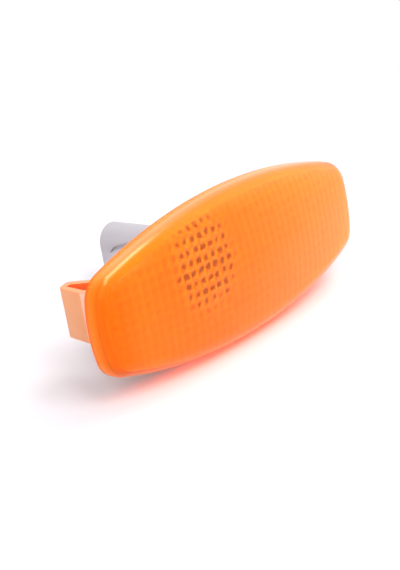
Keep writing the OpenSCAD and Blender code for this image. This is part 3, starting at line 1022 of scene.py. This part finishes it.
    def build(self, material: bpy.types.Material) -> bpy.types.Object:
        """Builds the lens.

        Args:
            material: its finish.

        Returns:
            The finished lens.
        """
        outside, hollow, plug = self.outside(), self.hollow(), self.rebate_plug()
        tree = GeometryTree(
            "pillow_optics",
            {
                "Pillow width": self.pillow_width * MM,
                "Pillow height": self.pillow_height * MM,
                "Pillow rise": self.pillow_rise * MM,
            },
        )
        parts = {
            part.name: tree.node(
                "GeometryNodeObjectInfo", {"transform_space": "ORIGINAL"}, {"Object": part}
            ).outputs["Geometry"]
            for part in (hollow, plug)
        }
        block = self.pillow_tree(tree)
        cavity = tree.node("GeometryNodeMeshBoolean", {"operation": "INTERSECT", "solver": "MANIFOLD"})
        tree.tree.links.new(block, cavity.inputs["Mesh 2"])
        tree.tree.links.new(parts[hollow.name], cavity.inputs["Mesh 2"])
        shell = tree.node("GeometryNodeMeshBoolean", {"operation": "DIFFERENCE", "solver": "MANIFOLD"})
        tree.tree.links.new(tree.start.outputs["Geometry"], shell.inputs["Mesh 1"])
        tree.tree.links.new(cavity.outputs[0], shell.inputs["Mesh 2"])
        tree.tree.links.new(parts[plug.name], shell.inputs["Mesh 2"])
        skin = [(v.co.copy(), v.normal.copy()) for v in outside.data.vertices]
        made = tree.run(outside, shell.outputs[0], material, "amber_lens")
        for part in (hollow, plug):
            bpy.data.objects.remove(part)
        smooth(made, self.sharp)
        mark_faces(made, skin, self.sharp)
        return dress(made, material, Slot.LENS, "lens")


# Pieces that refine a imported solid


def refined(
    node: str,
    name: str,
    radius: float,
    segments: int = 2,
    angle: float = 32.0,
) -> bpy.types.Object:
    """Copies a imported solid, joins its loose triangles and rounds its edges.

    Args:
        node: the CAD node.
        name: the new piece's name.
        radius: width of the rounding, in millimetres.
        segments: steps of the rounding.
        angle: edges sharper than this are rounded, in degrees.

    Returns:
        The finer piece.
    """
    same_place, same_plane = 0.0005 * MM, math.radians(0.6)
    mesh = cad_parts[node].data.copy()
    copy = bpy.data.objects.new(name + "_copy", mesh)
    bpy.context.scene.collection.objects.link(copy)
    bm = bmesh.new()
    bm.from_mesh(mesh)
    bmesh.ops.remove_doubles(bm, verts=bm.verts, dist=same_place)
    bmesh.ops.dissolve_limit(bm, angle_limit=same_plane, verts=bm.verts, edges=bm.edges)
    bm.to_mesh(mesh)
    bm.free()
    bevel = copy.modifiers.new("rounding", "BEVEL")
    bevel.width = radius * MM
    bevel.segments = segments
    bevel.limit_method = "ANGLE"
    bevel.angle_limit = math.radians(angle)
    bevel.use_clamp_overlap = True
    made = baked(copy, name)
    smooth(made, angle)
    return made


@dataclass(frozen=True)
class ClipFold:
    """The spring clip's fold, whose faces get painted light: a deeper painted shade inside it, and a
    paler painted bounce light by the lens.
    """

    middle: tuple[float, float] = (-33.6, 6.5)
    reach: float = 8.0
    low: float = 0.3
    upright: float = 0.5
    catch_top: float = 7.6
    catch_slope: tuple[float, float] = (-0.6, -0.3)
    catch_side: float = -0.5

    def mark(self, piece: bpy.types.Object) -> None:
        """Stores 1 on those faces, as the attributes that mark the painted shade and the painted bounce
        light.

        Args:
            piece: the housing.
        """
        painted_fold_shade = piece.data.attributes.new("painted_fold_shade", "FLOAT", "FACE")
        painted_bounce_light = piece.data.attributes.new("painted_bounce_light", "FLOAT", "FACE")
        centre = Vector((*self.middle, 0.0)) * MM
        for number, face in enumerate(piece.data.polygons):
            away = face.center - centre
            away.z = 0.0
            near = away.length < self.reach * MM and face.center.y > self.low * MM
            upright = abs(face.normal.z) < self.upright
            inner = away.dot(face.normal) < 0
            least, most = self.catch_slope
            sloping = least < face.normal.y < most and face.normal.x < self.catch_side
            beside = face.center.y < self.catch_top * MM and sloping
            # Faces facing into the fold get painted shade; sloping faces beside the catch get painted
            # bounce light.
            painted_fold_shade.data[number].value = 1.0 if near and upright and inner else 0.0
            painted_bounce_light.data[number].value = 1.0 if near and beside and not inner else 0.0


@dataclass(frozen=True)
class Coil:
    """The bulb's filament, wound along Z in the space of its packed rod."""

    turns: float = 9.0
    wire: float = 0.11
    sides: int = 8
    steps: int = 20
    sharp: float = 40.0

    def build(self, material: bpy.types.Material) -> bpy.types.Object:
        """Builds the coil.

        Args:
            material: its finish.

        Returns:
            The finished coil.
        """
        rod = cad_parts["filament"]
        corners = [rod.matrix_world @ v.co for v in rod.data.vertices]
        low = Vector([min(c[i] for c in corners) for i in range(3)])
        high = Vector([max(c[i] for c in corners) for i in range(3)])
        radius = (high.x - low.x) / 2 - self.wire * MM
        height = high.z - low.z - 2 * self.wire * MM
        sizes = {"Coil radius": radius, "Coil height": height, "Wire radius": self.wire * MM}
        tree = GeometryTree("coil", sizes)
        line = tree.node(
            "GeometryNodeCurveSpiral",
            inputs={
                "Resolution": int(self.turns * self.steps),
                "Rotations": self.turns,
                "Start Radius": tree.size("Coil radius"),
                "End Radius": tree.size("Coil radius"),
                "Height": tree.size("Coil height"),
            },
        )
        round_wire = tree.node(
            "GeometryNodeCurvePrimitiveCircle",
            inputs={"Resolution": self.sides, "Radius": tree.size("Wire radius")},
        )
        wound = tree.node(
            "GeometryNodeCurveToMesh",
            inputs={"Curve": line.outputs[0], "Profile Curve": round_wire.outputs[0], "Fill Caps": True},
        )
        start = Vector(((low.x + high.x) / 2, (low.y + high.y) / 2, low.z + self.wire * MM))
        placed = tree.node(
            "GeometryNodeTransform",
            inputs={"Geometry": wound.outputs[0], "Translation": start},
        )
        carrier = mesh_object("coil_start", np.zeros((0, 3)), [])
        made = tree.run(carrier, placed.outputs[0], material, "filament_coil")
        smooth(made, self.sharp)
        return dress(made, material, Slot.TUNGSTEN, "filament")


# Stage


@dataclass(frozen=True)
class Softbox:
    """A soft light aimed at the lamp, placed in the room's axes, in millimetres."""

    name: str
    place: tuple[float, float, float]
    long_way: tuple[float, float, float]
    size: tuple[float, float]
    watts: float
    diffuse: bool = True
    glossy: bool = True


@dataclass
class Studio:
    """Floor, light and camera of the photograph."""

    rest_low: tuple[float, float] = (-1.2, -16.7)
    tilt: float = 12.34
    camera_at: tuple[float, float, float] = (-201.87, -188.31, 93.79)
    right: tuple[float, float, float] = (0.6433, -0.7479, -0.1636)
    up: tuple[float, float, float] = (0.3589, 0.1058, 0.9274)
    view: tuple[float, float, float] = (0.6763, 0.6553, -0.3365)
    focal: float = 84.92
    floor_half: float = 3000.0
    shadow_reach: float = 60.0
    white_from: float = 190.0
    ambient: float = 0.73
    ambient_tint: tuple[float, float, float] = (1.0, 0.935, 0.975)
    floor_colour: tuple[float, float, float] = (0.68, 0.68, 0.7)
    floor_roughness: float = 0.6
    floor_shine: float = 0.2
    sensor: float = 36.0
    nearest: float = 10.0
    farthest: float = 50000.0
    lights: tuple[Softbox, ...] = (
        Softbox("key", (0.0, -330.0, 600.0), (1.0, 0.0, 0.0), (400.0, 260.0), 2.2, glossy=False),
        Softbox("left", (-480.0, -160.0, 420.0), (0.0, 1.0, 0.0), (400.0, 400.0), 2.0, glossy=False),
        Softbox("back", (430.0, 0.0, 480.0), (0.0, 1.0, 0.0), (400.0, 400.0), 2.3, glossy=False),
        Softbox("fill", (-200.0, -900.0, 150.0), (1.0, -0.22, 0.0), (700.0, 400.0), 3.0, glossy=False),
        Softbox("streak", (-10.0, 170.0, 660.0), (0.82, 0.58, 0.0), (700.0, 130.0), 4.2, diffuse=False),
    )

    def level(self) -> Matrix:
        """Turns the room's axes into the part's frame, in which the floor is tilted."""
        return Matrix.Rotation(math.radians(self.tilt), 4, "X")

    def floor(self) -> bpy.types.Object:
        """Makes the floor that the lamp rests on.

        Returns:
            The floor.
        """
        h = self.floor_half
        centre = Vector((0.0, self.rest_low[0], self.rest_low[1]))
        square = ((-h, -h), (h, -h), (h, h), (-h, h))
        corners = [centre + self.level() @ Vector((x, y, 0.0)) for x, y in square]
        made = mesh_object("floor", np.array([tuple(c) for c in corners]), [(0, 1, 2, 3)])
        r = Recipe(bpy.data.materials.new("pale_floor"))
        pale = r.node(
            "ShaderNodeBsdfPrincipled",
            inputs={
                "Base Color": opaque(self.floor_colour),
                "Roughness": self.floor_roughness,
                "Specular IOR Level": self.floor_shine,
            },
        )
        white = r.node("ShaderNodeEmission", inputs={"Color": (1.0, 1.0, 1.0, 1.0), "Strength": 1.0})
        away = r.node("ShaderNodeVectorMath", {"operation": "LENGTH"}, {0: r.point()}, output="Value")
        far = away.band(self.shadow_reach * MM, self.white_from * MM) * r.seen()
        shown = r.node("ShaderNodeMixShader", inputs={0: far, 1: pale, 2: white})
        nothing = r.node("ShaderNodeBsdfTransparent")
        behind = r.node("ShaderNodeNewGeometry", output="Backfacing")
        finish = r.surface(r.node("ShaderNodeMixShader", inputs={0: behind, 1: shown, 2: nothing}))
        made.data.materials.append(finish)
        return made

    def world(self) -> None:
        """Lights the room evenly and shows it white."""
        r = Recipe(bpy.data.worlds.new("room"))
        dim = r.node(
            "ShaderNodeBackground",
            inputs={"Color": opaque(self.ambient_tint), "Strength": self.ambient},
        )
        white = r.node("ShaderNodeBackground", inputs={"Color": (1.0, 1.0, 1.0, 1.0), "Strength": 1.0})
        room = r.surface(r.node("ShaderNodeMixShader", inputs={0: r.seen(), 1: dim, 2: white}))
        bpy.context.scene.world = room

    def softbox(self, box: Softbox) -> None:
        """Adds a soft light.

        Args:
            box: its size, place and power.
        """
        data = bpy.data.lights.new(box.name, "AREA")
        data.shape = "RECTANGLE"
        data.size, data.size_y = box.size[0] * MM, box.size[1] * MM
        data.energy = box.watts
        made = bpy.data.objects.new(box.name, data)
        at = self.level() @ Vector(box.place)
        back = at.normalized()
        across = (self.level() @ Vector(box.long_way)).normalized()
        across = (across - across.dot(back) * back).normalized()
        turn = Matrix((across, back.cross(across), back)).transposed().to_4x4()
        made.matrix_world = Matrix.Translation(at * MM) @ turn
        made.visible_diffuse = box.diffuse
        made.visible_glossy = box.glossy
        bpy.context.scene.collection.objects.link(made)

    def camera(self) -> None:
        """Sets the camera where the photograph was taken."""
        data = bpy.data.cameras.new("camera")
        data.lens = self.focal
        data.sensor_width = self.sensor
        data.clip_start = self.nearest * MM
        data.clip_end = self.farthest * MM
        made = bpy.data.objects.new("camera", data)
        turn = Matrix((self.right, self.up, [-v for v in self.view])).transposed().to_4x4()
        made.matrix_world = Matrix.Translation(Vector(self.camera_at) * MM) @ turn
        bpy.context.scene.collection.objects.link(made)
        bpy.context.scene.camera = made

    def build(self) -> None:
        """Builds the whole stage."""
        self.floor()
        self.world()
        for box in self.lights:
            self.softbox(box)
        self.camera()
        bpy.context.scene.view_settings.view_transform = "Standard"


def main() -> None:
    """Builds the stage and every piece in order."""
    logging.basicConfig(level=logging.INFO, format="%(message)s")
    Studio().build()
    lens = Lens()
    amber = AmberAcrylic(
        "amber_acrylic",
        clear=(1.0, 0.68, 0.06),
        body=linear(242, 145, 60),
        pale=linear(252, 187, 124),
        deep=linear(240, 112, 2),
        gold=linear(248, 142, 8),
        # The rim colour is painted light on the side wall.
        rim=linear(243, 168, 102),
        line=linear(222, 92, 20),
        # The dark colour is painted shade in the spots where the bulb's opening shows through the pillows.
        dark=linear(126, 44, 24),
        shadow=(1.0, 0.42, 0.1),
        cell=(lens.pillow_width, lens.pillow_height),
    ).make()
    apricot = Moulded(
        "apricot_plastic",
        colour=linear(222, 153, 104),
        shade=linear(218, 145, 94),
        roughness=0.42,
        grain=0.35,
        grain_depth=0.01,
        translucence=0.3,
        # Painted shade inside the clip's fold and painted bounce light beside its catch.
        painted_fold_shade=linear(228, 100, 38),
        painted_bounce_light=linear(236, 184, 160),
    ).make()
    grey = Moulded(
        "grey_plastic",
        colour=linear(182, 179, 184),
        shade=linear(174, 171, 176),
        roughness=0.5,
        grain=0.3,
        grain_depth=0.012,
    ).make()
    foam = Moulded(
        "gasket_foam",
        colour=(0.03, 0.03, 0.033),
        shade=(0.05, 0.05, 0.052),
        roughness=0.85,
        grain=0.25,
        grain_depth=0.05,
    ).make()
    rubber = Moulded(
        "seal_rubber",
        colour=(0.02, 0.02, 0.022),
        shade=(0.035, 0.035, 0.037),
        roughness=0.6,
        grain=0.4,
        grain_depth=0.01,
    ).make()
    brass = Metal(
        "tinned_brass",
        colour=(0.83, 0.66, 0.36),
        tarnish=(0.62, 0.45, 0.22),
        roughness=0.3,
    ).make()
    wire = Metal(
        "nickel_wire",
        colour=(0.6, 0.58, 0.55),
        tarnish=(0.42, 0.4, 0.38),
        roughness=0.35,
    ).make()
    tungsten = Metal(
        "tungsten_wire",
        colour=(0.28, 0.28, 0.29),
        tarnish=(0.2, 0.2, 0.21),
        roughness=0.4,
    ).make()
    glass = ClearGlass("bulb_glass", tint=(0.98, 0.99, 1.0)).make()
    lens.build(amber)
    housing = refined("housing", "housing_moulding", radius=0.25)
    dress(housing, apricot, Slot.HOUSING, "housing")
    ClipFold().mark(housing)
    holder = refined("bulb_holder", "holder_moulding", radius=0.35)
    dress(holder, grey, Slot.HOLDER, "bulb_holder")
    gasket = refined("gasket", "gasket_ring", radius=0.3)
    dress(gasket, foam, Slot.GASKET, "gasket")
    seal = refined("holder_seal", "seal_ring", radius=0.2)
    dress(seal, rubber, Slot.SEAL, "holder_seal")
    Coil().build(tungsten)
    for node, material in (
        ("terminal_upper", brass),
        ("terminal_lower", brass),
        ("bulb_glass", glass),
        ("lead_wire_upper", wire),
        ("lead_wire_lower", wire),
    ):
        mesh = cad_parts[node].data
        mesh.materials.clear()
        mesh.materials.append(material)
        log.info("%s: the packed solid, with the finish %s", node, material.name)


if __name__ == "__main__":
    main()
